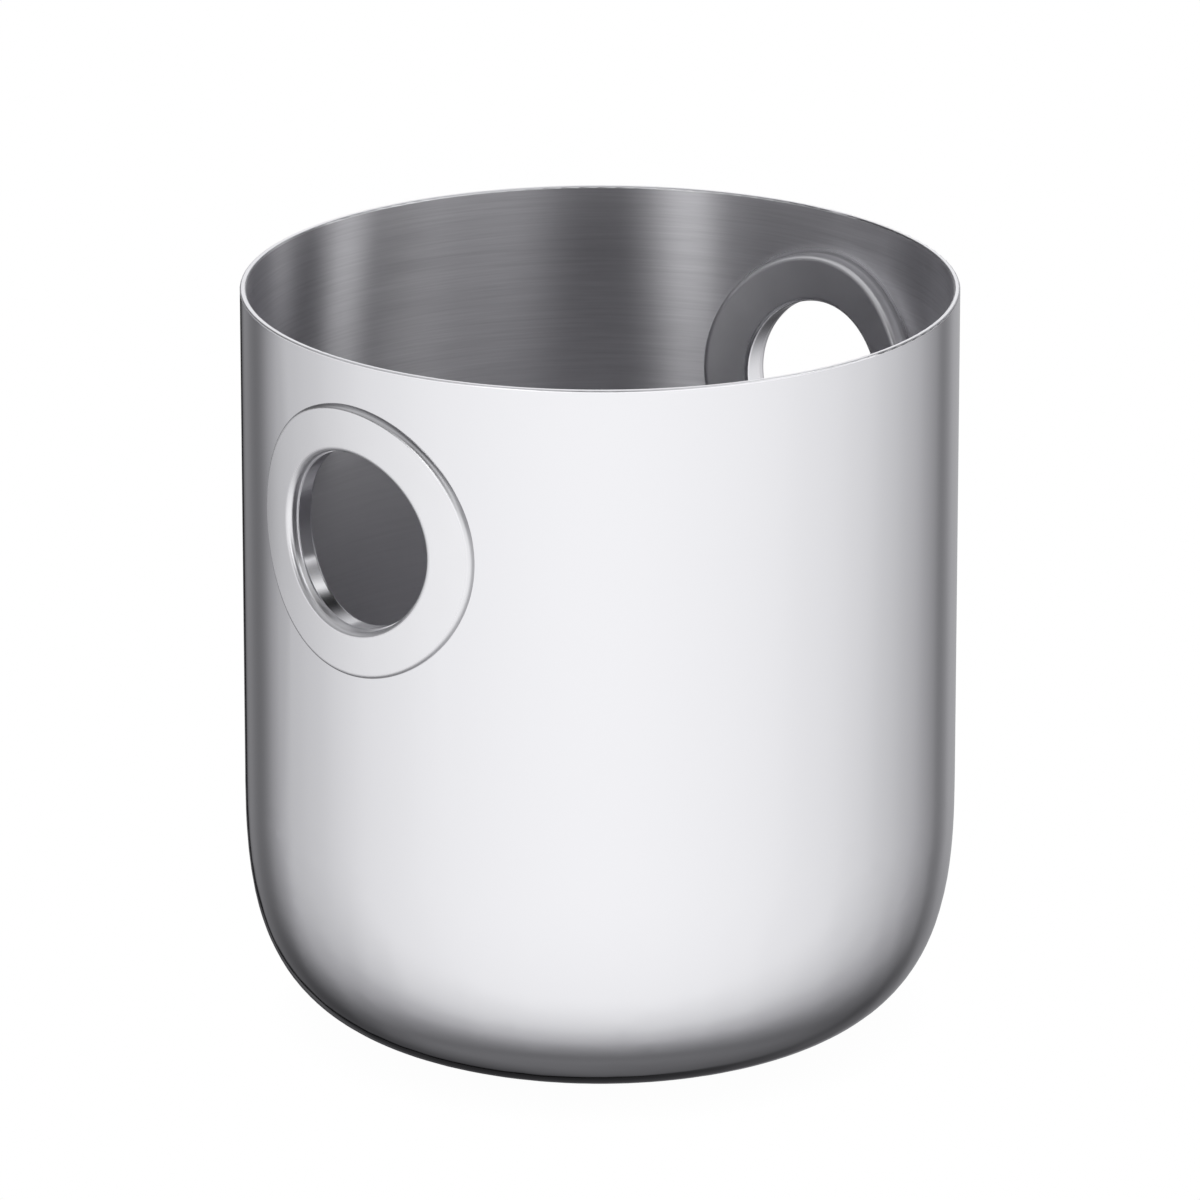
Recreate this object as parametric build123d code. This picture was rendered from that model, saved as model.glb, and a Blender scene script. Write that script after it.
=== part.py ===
from build123d import *

import os
from math import hypot, isclose

# Driving dimensions, in millimetres. The bucket stands on Z = 0 with its axis on Z, and its
# two grip openings face -X (left) and +X (right).
outer_radius = 100.0  # outside of the straight wall
height = 213.5  # rim above the table
wall = 1.7  # sheet thickness of wall, corner and base
base_radius = 49.3  # flat disc that rests on the table
corner_height = 74.5  # where the straight wall begins to curve in
corner_fullness = 33.4  # how far below that the curve still pulls straight down
rim_rounding = 0.45

opening_drop = 51.0  # centre of the grip opening below the rim
collar_radius = 38.5  # outside of both collars
neck_thickness = 1.6  # wall of the neck that lines the hole in the bucket
braze_gap = 0.05  # filler thickness between each collar and the bucket

outer_bore_radius = 25.4  # through the flange and the neck
outer_flange = 1.7  # how far the outer collar stands off the wall
outer_edge_rounding = 1.4
outer_lip_rounding = 1.5

inner_bore_radius = 25.0  # a little tighter, so that it covers the end of the neck
inner_flange = 5.35  # how far the inner collar stands off the wall
inner_edge_rounding = 1.5
inner_lip_rounding = 1.5

# Worked out from the driving dimensions.
inner_radius = outer_radius - wall
opening_height = height - opening_drop
neck_radius = outer_bore_radius + neck_thickness


def solid_of_revolution(radius, floor):
    """Plain solid with a flat base, a soft corner and a straight side up to the rim."""
    base = Line((0, floor), (base_radius, floor))
    corner = Bezier(
        (base_radius, floor),
        (radius, floor),
        (radius, corner_height - corner_fullness),
        (radius, corner_height),
    )
    side = Line((radius, corner_height), (radius, height))
    top = Line((radius, height), (0, height))
    axis = Line((0, height), (0, floor))
    outline = make_face(base + corner + side + top + axis)
    return revolve(Plane.XZ * outline, Axis.Z)


def opening_cylinder(radius, length=outer_radius * 3):
    """Cylinder along X through the middle of both grip openings."""
    return Pos(0, 0, opening_height) * Cylinder(radius, length, rotation=(0, 90, 0))


def bucket_shell():
    """One-piece drawn bucket with a hole for each collar's neck."""
    shell = solid_of_revolution(outer_radius, 0) - solid_of_revolution(inner_radius, wall)
    shell = fillet(shell.edges().group_by(Axis.Z)[-1], rim_rounding)
    return shell - opening_cylinder(neck_radius + braze_gap)


def disc_along_wall(disc_radius, from_radius, to_radius):
    """Disc over the +X opening, bent to follow the wall between two radii from the Z axis."""
    layer = Cylinder(to_radius, height * 2) - Cylinder(from_radius, height * 2)
    right_side = Pos(outer_radius, 0, 0) * opening_cylinder(disc_radius, outer_radius * 2)
    return Rot(0, 0, 90) * layer & right_side


def round_edge(part, face_radius, ring_radius, rounding):
    """Rounds the closed edge at one distance from each axis: the bucket's and the opening's."""

    def is_wanted(edge):
        point = edge @ 0
        from_bucket_axis = hypot(point.X, point.Y)
        from_opening_axis = hypot(point.Y, point.Z - opening_height)
        on_face = isclose(from_bucket_axis, face_radius, abs_tol=0.01)
        on_ring = isclose(from_opening_axis, ring_radius, abs_tol=0.01)
        return on_face and on_ring

    return fillet(part.edges().filter_by(is_wanted), rounding)


def outer_collar():
    """Thin flange against the outside of the wall, with a neck through the hole."""
    back = outer_radius + braze_gap
    face = back + outer_flange
    flange = disc_along_wall(collar_radius, back, face)
    neck = disc_along_wall(neck_radius, inner_radius, face)
    collar = flange + neck - opening_cylinder(outer_bore_radius)
    collar = round_edge(collar, face, collar_radius, outer_edge_rounding)
    return round_edge(collar, face, outer_bore_radius, outer_lip_rounding)


def inner_collar():
    """Thick ring against the inside of the wall, with well rounded edges for the fingers."""
    back = inner_radius - braze_gap
    face = back - inner_flange
    collar = disc_along_wall(collar_radius, face, back) - opening_cylinder(inner_bore_radius)
    collar = round_edge(collar, face, collar_radius, inner_edge_rounding)
    return round_edge(collar, face, inner_bore_radius, inner_lip_rounding)


def write(part, node):
    """Writes one sub-part, named after its node."""
    part.label = node
    export_step(part, f"parts/{node}.step")


os.makedirs("parts", exist_ok=True)
write(bucket_shell(), "bucket_shell")
for collar_name, collar in (("outer_collar", outer_collar()), ("inner_collar", inner_collar())):
    write(collar, f"{collar_name}_right")
    write(Rot(0, 0, 180) * collar, f"{collar_name}_left")
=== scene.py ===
from collections import namedtuple
from math import cos, hypot, radians, sin

import bpy
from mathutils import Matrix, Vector


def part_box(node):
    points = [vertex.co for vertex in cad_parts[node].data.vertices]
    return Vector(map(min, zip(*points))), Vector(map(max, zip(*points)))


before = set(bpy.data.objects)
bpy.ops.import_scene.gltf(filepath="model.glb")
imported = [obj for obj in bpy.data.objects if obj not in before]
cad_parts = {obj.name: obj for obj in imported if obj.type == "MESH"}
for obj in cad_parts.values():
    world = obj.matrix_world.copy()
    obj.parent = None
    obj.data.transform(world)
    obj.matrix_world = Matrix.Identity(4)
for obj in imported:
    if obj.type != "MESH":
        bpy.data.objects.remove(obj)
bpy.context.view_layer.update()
scene = bpy.context.scene

MILLIMETRE = 0.001

# The bucket's radius and height, in metres like every other size here.
shell_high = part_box("bucket_shell")[1]
RADIUS = shell_high.x
HEIGHT = shell_high.z

# The collars: how far the outer ones' faces and the inner ones' backs are from the bucket's
# axis, their own radius, the height of their centres, and the radius of the inner ones' bores.
outer_low, outer_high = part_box("outer_collar_right")
inner_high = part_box("inner_collar_right")[1]
OUTER_COLLAR_FACE = outer_high.x
INNER_COLLAR_BACK = inner_high.x
COLLAR_RADIUS = outer_high.y
COLLAR_HEIGHT = (outer_low.z + outer_high.z) / 2
BORE_RADIUS = min(
    hypot(corner.co.y, corner.co.z - COLLAR_HEIGHT)
    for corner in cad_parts["inner_collar_right"].data.vertices
)

# The camera's place, in degrees, radii of the bucket and millimetres of lens.
CAMERA_AZIMUTH = -47.5
CAMERA_ELEVATION = 18.35
CAMERA_DISTANCE = 29.3
CAMERA_RISE = 0.1375
CAMERA_LENS = 313
SENSOR_WIDTH = 36

# The light is stated as the grey that polished steel shows on a display, from 0 to 1. These two
# turn that grey into the light which the steel needs.
DISPLAY_GAMMA = 2.2
STEEL_REFLECTANCE = 0.7

# Greys on the left and right of the line of sight, as (degrees from straight ahead, grey).
LEFT_SIDE = (
    (0, 0.55), (11, 0.41), (19, 0.58), (34, 0.475), (43, 0.59), (54, 0.735),
    (64, 0.77), (76, 0.795), (90, 0.85), (110, 0.90), (142, 0.945), (180, 0.96),
)
RIGHT_SIDE = (
    (0, 0.78), (14, 0.76), (24, 0.70), (34, 0.54), (41, 0.605), (52, 0.695),
    (64, 0.755), (76, 0.80), (90, 0.85), (110, 0.90), (142, 0.945), (180, 0.96),
)

# What the dark ground leaves of those greys, as (degrees from the ground's middle, share).
GROUND_BELOW_SIGHT = 45
GROUND = (
    (0, 0.54), (10, 0.51), (22, 0.52), (32, 0.52), (44, 0.71), (55, 0.88), (70, 0.99), (90, 1.0),
)

# A dark ring in the light ahead of the camera, which draws the thin dark line along the foot and
# the left edge. Its middle, radius and width are in the right and up parts of a direction of
# length 1.
RING_MIDDLE = (0.07, -0.25, 0)
RING_RADIUS = 0.36
RING_WIDTH = 0.042
RING_LIGHT = 0.04  # the share of the light that the ring leaves
SHADE_DEPTH = 0.42  # depth of the shade in the low part of the ring, where its line's is 1

# Greys of the sky, as (degrees round the camera, grey): 0 and 360 are straight ahead of the
# camera, 90 is on its left, 180 is behind it and 270 is on its right.
LOW_BOXES = (
    (0, 0.70), (30, 0.15), (56, 0.12), (84, 0.32), (134, 0.30), (143, 0.75), (150, 1.0),
    (158, 0.90), (167, 0.55), (175, 0.12), (186, 0.20), (200, 0.60), (220, 0.58), (236, 0.46),
    (250, 0.02), (263, 0.70), (276, 0.70), (285, 0.03), (304, 0.74), (318, 0.15), (360, 0.70),
)
HIGH_CEILING = (
    (0, 0.60), (50, 0.22), (90, 0.53), (120, 0.46), (150, 0.40), (176, 0.14), (205, 0.48),
    (230, 0.66), (250, 0.88), (267, 0.20), (277, 0.78), (287, 0.05), (330, 0.30), (360, 0.60),
)
OVERHEAD = 0.52
SKY_STRENGTH = 1.35  # every grey of the sky is raised by this, so the boxes can pass white

WHITE = (1, 1, 1)
POLISHED = (0.70, 0.70, 0.715)


class Nodes:
    """Builds a shader tree. Most methods add one node and return what comes out of it."""

    def __init__(self, owner):
        owner.use_nodes = True
        self.tree = owner.node_tree
        self.tree.nodes.clear()

    def add(self, kind, inputs=None, **settings):
        made = self.tree.nodes.new(kind)
        for name, value in settings.items():
            setattr(made, name, value)
        for name, value in (inputs or {}).items():
            self.feed(made.inputs[name], value)
        return made

    def feed(self, socket, value):
        """Links a node's output to a socket, or sets a number, a vector or an opaque colour."""
        if isinstance(value, bpy.types.NodeSocket):
            self.tree.links.new(value, socket)
        elif socket.type == "RGBA":
            socket.default_value = (*value, 1)
        else:
            socket.default_value = value

    def math(self, operation, *values):
        inputs = dict(enumerate(values))
        return self.add("ShaderNodeMath", inputs, operation=operation).outputs[0]

    def multiply(self, first, second):
        return self.math("MULTIPLY", first, second)

    def vector(self, operation, first, second=None):
        inputs = {0: first}
        if second is not None:
            inputs[1] = second
        made = self.add("ShaderNodeVectorMath", inputs, operation=operation)
        return made.outputs["Value" if operation in ("DOT_PRODUCT", "LENGTH") else "Vector"]

    def dot(self, first, second):
        return self.vector("DOT_PRODUCT", first, second)

    def length(self, x, y):
        return self.vector("LENGTH", self.join(x, y, 0))

    def split(self, vector):
        return self.add("ShaderNodeSeparateXYZ", {0: vector}).outputs[:]

    def join(self, x, y, z):
        return self.add("ShaderNodeCombineXYZ", {0: x, 1: y, 2: z}).outputs[0]

    def blend(self, amount, first, second):
        """A number that goes from first to second as the amount goes from 0 to 1."""
        return self.add("ShaderNodeMix", {0: amount, 2: first, 3: second}).outputs[0]

    def tint(self, amount, first, second):
        """A colour that goes from first to second as the amount goes from 0 to 1."""
        inputs = {0: amount, 6: first, 7: second}
        return self.add("ShaderNodeMix", inputs, data_type="RGBA").outputs[2]

    def between(self, value, start, end):
        """0 before start, 1 past end and a soft step between them. End can be the lower one."""
        inputs = {0: value, 1: start, 2: end}
        made = self.add("ShaderNodeMapRange", inputs, interpolation_type="SMOOTHSTEP")
        return made.outputs[0]

    def curve(self, angle, whole, stops):
        """A smooth curve through (degrees, grey) stops, for an angle in radians."""
        share = self.math("DIVIDE", angle, radians(whole))
        made = self.add("ShaderNodeValToRGB", {0: share})
        made.color_ramp.interpolation = "CARDINAL"
        elements = made.color_ramp.elements
        while len(elements) < len(stops):
            elements.new(0.5)
        for element, (degrees, grey) in zip(elements, stops):
            element.position = degrees / whole
            element.color = (grey, grey, grey, 1)
        return made.outputs[0]

    def noise(self, vector, size=1.0, detail=3.0, roughness=0.5):
        """Cloudy noise from 0 to 1, with clouds of about this size."""
        inputs = {"Vector": vector, "Scale": 1 / size, "Detail": detail, "Roughness": roughness}
        return self.add("ShaderNodeTexNoise", inputs).outputs["Fac"]

    def mix_shaders(self, amount, first, second):
        """The output of first where the amount is 0 and of second where it is 1."""
        inputs = {0: amount, 1: first.outputs[0], 2: second.outputs[0]}
        return self.add("ShaderNodeMixShader", inputs).outputs[0]


def studio_directions(nodes):
    """Where a ray goes: its right, up and forward parts, and its rise above the level.

    The light turns round the bucket with the camera but doesn't tilt with it, so right, up and
    forward are those of a camera at the elevation above, whatever the elevation of the view.
    """
    incoming = nodes.add("ShaderNodeNewGeometry").outputs["Incoming"]
    outgoing = nodes.vector("MULTIPLY", incoming, (-1, -1, -1))
    _x, _y, rise = nodes.split(outgoing)
    side = nodes.add(
        "ShaderNodeVectorTransform",
        {0: (1, 0, 0)},
        vector_type="VECTOR",
        convert_from="CAMERA",
        convert_to="WORLD",
    ).outputs[0]
    right = nodes.dot(outgoing, side)
    ahead = nodes.dot(outgoing, nodes.vector("CROSS_PRODUCT", (0, 0, 1), side))
    level = nodes.join(right, rise, ahead)
    tilt = radians(CAMERA_ELEVATION)
    up = nodes.dot(level, (0, cos(tilt), sin(tilt)))
    forward = nodes.dot(level, (0, -sin(tilt), cos(tilt)))
    return nodes.join(right, up, forward), rise


def ring_light(nodes, direction):
    """The share of the light that the dark ring leaves: a line on its left, a shade low down."""
    right, up, forward = nodes.split(direction)
    from_middle = nodes.vector("SUBTRACT", nodes.join(right, up, 0), RING_MIDDLE)
    off_ring = nodes.math("SUBTRACT", nodes.vector("LENGTH", from_middle), RING_RADIUS)
    on_ring = nodes.between(nodes.math("ABSOLUTE", off_ring), RING_WIDTH, 0.0)
    on_left = nodes.between(right, 0.25, -0.05)
    line = nodes.multiply(on_ring, on_left)
    within = nodes.between(off_ring, 0.01, -0.02)
    low_down = nodes.between(up, -0.20, -0.35)
    not_right = nodes.between(right, 0.34, 0.04)
    shade = nodes.multiply(nodes.multiply(within, low_down), not_right)
    shade = nodes.multiply(shade, SHADE_DEPTH)
    ahead = nodes.between(forward, 0.0, 0.3)
    depth = nodes.multiply(nodes.math("MAXIMUM", line, shade), ahead)
    return nodes.blend(depth, 1.0, RING_LIGHT)


def wall_light(nodes, direction):
    """The soft front light that the outside shows, with its dark edges and dark ground."""
    right, _up, forward = nodes.split(direction)
    turn = nodes.math("ARCCOSINE", forward)
    right_side = nodes.curve(turn, 180, RIGHT_SIDE)
    left_side = nodes.curve(turn, 180, LEFT_SIDE)
    sides = nodes.blend(nodes.between(right, -0.1, 0.1), left_side, right_side)
    below = radians(GROUND_BELOW_SIGHT)
    off_ground = nodes.math("ARCCOSINE", nodes.dot(direction, (0, -sin(below), cos(below))))
    ground = nodes.curve(off_ground, 180, GROUND)
    return nodes.multiply(nodes.multiply(sides, ground), ring_light(nodes, direction))


def above_level(nodes, rise, low, high):
    """0 up to low degrees above the level, 1 from high degrees on, and a soft step between."""
    return nodes.between(rise, sin(radians(low)), sin(radians(high)))


def sky_light(nodes, direction, rise):
    """The light from above, which reaches the inside: soft boxes below a dim ceiling."""
    right, _up, forward = nodes.split(direction)
    backward = nodes.multiply(forward, -1)
    round_camera = nodes.math("ARCTAN2", right, backward)
    round_camera = nodes.math("ADD", round_camera, radians(180))
    low_boxes = nodes.curve(round_camera, 360, LOW_BOXES)
    high_ceiling = nodes.curve(round_camera, 360, HIGH_CEILING)
    sky = nodes.blend(above_level(nodes, rise, 17, 31), low_boxes, high_ceiling)
    sky = nodes.blend(above_level(nodes, rise, 50, 70), sky, OVERHEAD)
    return nodes.multiply(sky, SKY_STRENGTH)


def studio():
    """White behind the bucket for the camera, and the studio's soft light for the steel."""
    world = bpy.data.worlds.new("studio")
    scene.world = world
    nodes = Nodes(world)
    direction, rise = studio_directions(nodes)
    in_sky = above_level(nodes, rise, 1, 9)
    shown = nodes.blend(in_sky, wall_light(nodes, direction), sky_light(nodes, direction, rise))
    light = nodes.math("POWER", shown, DISPLAY_GAMMA)
    light = nodes.math("DIVIDE", light, STEEL_REFLECTANCE)
    cast = nodes.tint(shown, (1.0, 0.99, 1.06), (1.0, 1.0, 1.005))
    light = nodes.vector("MULTIPLY", cast, light)
    lit = nodes.add("ShaderNodeBackground", {"Color": light, "Strength": 1.0})
    white = nodes.add("ShaderNodeBackground", {"Color": WHITE, "Strength": 1.0})
    is_camera = nodes.add("ShaderNodeLightPath").outputs["Is Camera Ray"]
    seen = nodes.mix_shaders(is_camera, lit, white)
    nodes.add("ShaderNodeOutputWorld", {"Surface": seen})


def finish_steel(nodes, colour, roughness, marks, depth, **extra):
    """Ends a steel material with its shader, and a bump that raises the marks by depth."""
    bump = nodes.add("ShaderNodeBump", {"Height": marks, "Distance": depth, "Strength": 1.0})
    inputs = {
        "Base Color": colour,
        "Metallic": 1.0,
        "Roughness": roughness,
        "Normal": bump.outputs[0],
    }
    inputs.update(extra)
    shader = nodes.add("ShaderNodeBsdfPrincipled", inputs)
    nodes.add("ShaderNodeOutputMaterial", {"Surface": shader.outputs[0]})


def distance_from_axis(nodes, position):
    """How far a point is from the bucket's axis."""
    x, y, _z = nodes.split(position)
    return nodes.length(x, y)


def distance_from_opening(nodes, position):
    """How far a point is from the line through the middle of both grip openings."""
    _x, y, z = nodes.split(position)
    return nodes.length(y, nodes.math("SUBTRACT", z, COLLAR_HEIGHT))


def turned_marks(nodes, position, fineness, length):
    """Fine lines that run round the bucket's axis, as turning or brushing leaves them."""
    x, y, z = nodes.split(position)
    along_wall = nodes.math("ADD", z, distance_from_axis(nodes, position))
    stretched = nodes.join(
        nodes.multiply(x, 1 / length),
        nodes.multiply(y, 1 / length),
        nodes.multiply(along_wall, 1 / fineness),
    )
    return nodes.noise(stretched, roughness=0.6)


ShellZones = namedtuple("ShellZones", ["inside", "rim", "deep", "by_collar"])


def shell_zones(nodes, position, normal):
    """The parts of the shell that have a finish or painted light of their own: 1 there, 0
    elsewhere.

    Deep is low down, inside or out. By the collar is a narrow ring round each inner collar,
    where a reflection of the collar's edge is painted.
    """
    from_middle = nodes.vector("SUBTRACT", position, (0, 0, HEIGHT / 2))
    inside = nodes.between(nodes.dot(from_middle, normal), MILLIMETRE, -MILLIMETRE)
    _x, _y, z = nodes.split(position)
    rim = nodes.between(z, HEIGHT - 0.65 * MILLIMETRE, HEIGHT - 0.45 * MILLIMETRE)
    deep = nodes.between(z, HEIGHT - 62 * MILLIMETRE, HEIGHT - 85 * MILLIMETRE)
    by_collar = nodes.between(
        distance_from_opening(nodes, position),
        COLLAR_RADIUS + 2.8 * MILLIMETRE,
        COLLAR_RADIUS + 0.6 * MILLIMETRE,
    )
    return ShellZones(inside, rim, deep, nodes.multiply(inside, by_collar))


def shell_colour(nodes, zones, brushing):
    """Polished steel, streaked by brushing inside, paler by the collars and rim as painted
    light.
    """
    brushed = nodes.tint(brushing, (0.56, 0.557, 0.575), (0.80, 0.795, 0.82))
    colour = nodes.tint(zones.inside, POLISHED, brushed)
    # Painted reflection: the wall is paler round each inner collar, like the collar's bright
    # edge mirrored in it.
    colour = nodes.tint(zones.by_collar, colour, (0.88, 0.875, 0.895))
    # Painted highlight: the rim is paler than the steel, as if it caught the light.
    return nodes.tint(zones.rim, colour, (0.89, 0.89, 0.905))


def shell_roughness(nodes, zones, position):
    """Smooth outside and rougher inside, most of all low down, but less so by the collars."""
    haze = nodes.noise(position, 14 * MILLIMETRE, detail=4.0)
    broad = turned_marks(nodes, position, fineness=4 * MILLIMETRE, length=70 * MILLIMETRE)
    smooth = nodes.blend(haze, 0.07, 0.10)
    brushed = nodes.blend(broad, 0.31, 0.41)
    roughness = nodes.blend(zones.inside, smooth, brushed)
    roughness = nodes.blend(nodes.multiply(zones.inside, zones.deep), roughness, 0.47)
    roughness = nodes.blend(zones.by_collar, roughness, 0.24)
    return nodes.blend(zones.rim, roughness, 0.33)


def shell_steel(material):
    """Polished outside with a softer rim, and brushed round the axis inside."""
    nodes = Nodes(material)
    place = nodes.add("ShaderNodeTexCoord").outputs
    position = place["Object"]
    zones = shell_zones(nodes, position, place["Normal"])
    brushing = turned_marks(nodes, position, fineness=0.8 * MILLIMETRE, length=30 * MILLIMETRE)
    faded = nodes.multiply(zones.deep, 0.6)
    brushing = nodes.blend(faded, brushing, 0.5)
    # Highlights spread across the marks inside, a quarter turn from the tangent round the axis.
    spread = {
        "Anisotropic": nodes.multiply(zones.inside, nodes.blend(zones.deep, 1.0, 0.62)),
        "Anisotropic Rotation": 0.25,
        "Tangent": nodes.add("ShaderNodeTangent", direction_type="RADIAL", axis="Z").outputs[0],
    }
    finish_steel(
        nodes,
        shell_colour(nodes, zones, brushing),
        shell_roughness(nodes, zones, position),
        marks=nodes.multiply(brushing, nodes.blend(zones.inside, 0.004, 1.0)),
        depth=0.012 * MILLIMETRE,
        **spread,
    )


def painted_edge_shade(nodes, position, shade_starts, shade_full):
    """1 on the outer edge of a collar, down by the wall where shade is painted, else 0.

    shade_starts and shade_full are how far from the bucket's axis the painted shade starts and
    is full.
    """
    near_wall = nodes.between(distance_from_axis(nodes, position), shade_starts, shade_full)
    from_opening = distance_from_opening(nodes, position)
    on_edge = nodes.between(from_opening, COLLAR_RADIUS * 0.9, COLLAR_RADIUS * 0.93)
    return nodes.multiply(near_wall, on_edge)


def collar_steel(material):
    """Polished a little softer than the wall, with rougher edges and painted shade on the outer
    edge.
    """
    nodes = Nodes(material)
    position = nodes.add("ShaderNodeTexCoord").outputs["Object"]
    grain = nodes.noise(position, 0.8 * MILLIMETRE)
    haze = nodes.noise(position, 9 * MILLIMETRE)
    face = nodes.tint(haze, (0.69, 0.69, 0.703), (0.72, 0.72, 0.733))
    shade_starts = OUTER_COLLAR_FACE - 0.3 * MILLIMETRE
    shade_full = OUTER_COLLAR_FACE - 1.2 * MILLIMETRE
    # Painted shade: the collar's outer edge turns dark grey down by the wall, where it meets it.
    colour = nodes.tint(painted_edge_shade(nodes, position, shade_starts, shade_full), face, (0.52, 0.52, 0.53))
    from_opening = distance_from_opening(nodes, position)
    on_edge = nodes.between(from_opening, COLLAR_RADIUS - 1.6 * MILLIMETRE, COLLAR_RADIUS)
    on_lip = nodes.between(from_opening, BORE_RADIUS * 1.08, BORE_RADIUS * 1.06)
    roughness = nodes.blend(on_edge, nodes.blend(haze, 0.15, 0.20), 0.40)
    roughness = nodes.blend(on_lip, roughness, 0.34)
    finish_steel(nodes, colour, roughness, marks=grain, depth=0.0006 * MILLIMETRE)


def inner_collar_steel(material):
    """A satin face, seen from the mouth of the bucket, round a bore polished by many fingers."""
    nodes = Nodes(material)
    position = nodes.add("ShaderNodeTexCoord").outputs["Object"]
    grain = nodes.noise(position, 0.5 * MILLIMETRE)
    haze = nodes.noise(position, 11 * MILLIMETRE)
    satin = nodes.tint(haze, (0.75, 0.75, 0.765), (0.81, 0.81, 0.825))
    shade_starts = INNER_COLLAR_BACK - 2.15 * MILLIMETRE
    shade_full = INNER_COLLAR_BACK - 0.75 * MILLIMETRE
    # Painted shade: the collar's side turns dark grey down by the wall, where it meets it.
    colour = nodes.tint(painted_edge_shade(nodes, position, shade_starts, shade_full), satin, (0.40, 0.40, 0.415))
    from_opening = distance_from_opening(nodes, position)
    in_bore = nodes.between(from_opening, BORE_RADIUS * 1.05, BORE_RADIUS * 1.02)
    roughness = nodes.blend(in_bore, nodes.blend(haze, 0.30, 0.37), 0.17)
    finish_steel(nodes, colour, roughness, marks=grain, depth=0.001 * MILLIMETRE)


FINISHES = {
    "bucket_shell": shell_steel,
    "outer_collar_left": collar_steel,
    "outer_collar_right": collar_steel,
    "inner_collar_left": inner_collar_steel,
    "inner_collar_right": inner_collar_steel,
}


def finish_metals():
    """Gives each piece from the CAD its metal. Pieces with one finish share one material."""
    made = {}
    for name, finish in FINISHES.items():
        if finish not in made:
            made[finish] = bpy.data.materials.new(finish.__name__)
            finish(made[finish])
        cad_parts[name].data.materials[0] = made[finish]


def floor_material():
    """White from above with a faint shade near the base, and clear from below."""
    material = bpy.data.materials.new("floor_white")
    nodes = Nodes(material)
    openness = nodes.add("ShaderNodeAmbientOcclusion", {"Distance": RADIUS * 0.15}).outputs["AO"]
    shade = nodes.blend(openness, 0.98, 1.0)
    white = nodes.add("ShaderNodeEmission", {"Color": shade, "Strength": 1.0})
    clear = nodes.add("ShaderNodeBsdfTransparent")
    from_below = nodes.add("ShaderNodeNewGeometry").outputs["Backfacing"]
    seen = nodes.mix_shaders(from_below, white, clear)
    nodes.add("ShaderNodeOutputMaterial", {"Surface": seen})
    return material


def floor():
    """A plain floor under the bucket. Only the camera sees it, so none of it shows in the steel.
    """
    reach = RADIUS * 300
    corners = [(-reach, -reach, 0), (reach, -reach, 0), (reach, reach, 0), (-reach, reach, 0)]
    mesh = bpy.data.meshes.new("floor")
    mesh.from_pydata(corners, [], [(0, 1, 2, 3)])
    mesh.materials.append(floor_material())
    made = bpy.data.objects.new("floor", mesh)
    made.location.z = -0.05 * MILLIMETRE
    made.visible_glossy = False
    made.visible_diffuse = False
    made.visible_shadow = False
    scene.collection.objects.link(made)


def camera():
    """Looks down at the left front, from far away through a long lens."""
    azimuth = radians(CAMERA_AZIMUTH)
    elevation = radians(CAMERA_ELEVATION)
    back = Vector((
        sin(azimuth) * cos(elevation),
        -cos(azimuth) * cos(elevation),
        sin(elevation),
    ))
    side = Vector((cos(azimuth), sin(azimuth), 0))
    up = back.cross(side)
    middle = Vector((0, 0, HEIGHT / 2))
    data = bpy.data.cameras.new("camera")
    data.lens = CAMERA_LENS
    data.sensor_width = SENSOR_WIDTH
    data.clip_start = RADIUS
    data.clip_end = RADIUS * 1000
    made = bpy.data.objects.new("camera", data)
    made.location = middle + (back * CAMERA_DISTANCE + up * CAMERA_RISE) * RADIUS
    made.rotation_mode = "QUATERNION"
    made.rotation_quaternion = (-back).to_track_quat("-Z", "Y")
    scene.collection.objects.link(made)
    scene.camera = made


finish_metals()
floor()
studio()
camera()
scene.view_settings.view_transform = "Standard"
scene.cycles.max_bounces = 16
scene.cycles.glossy_bounces = 16
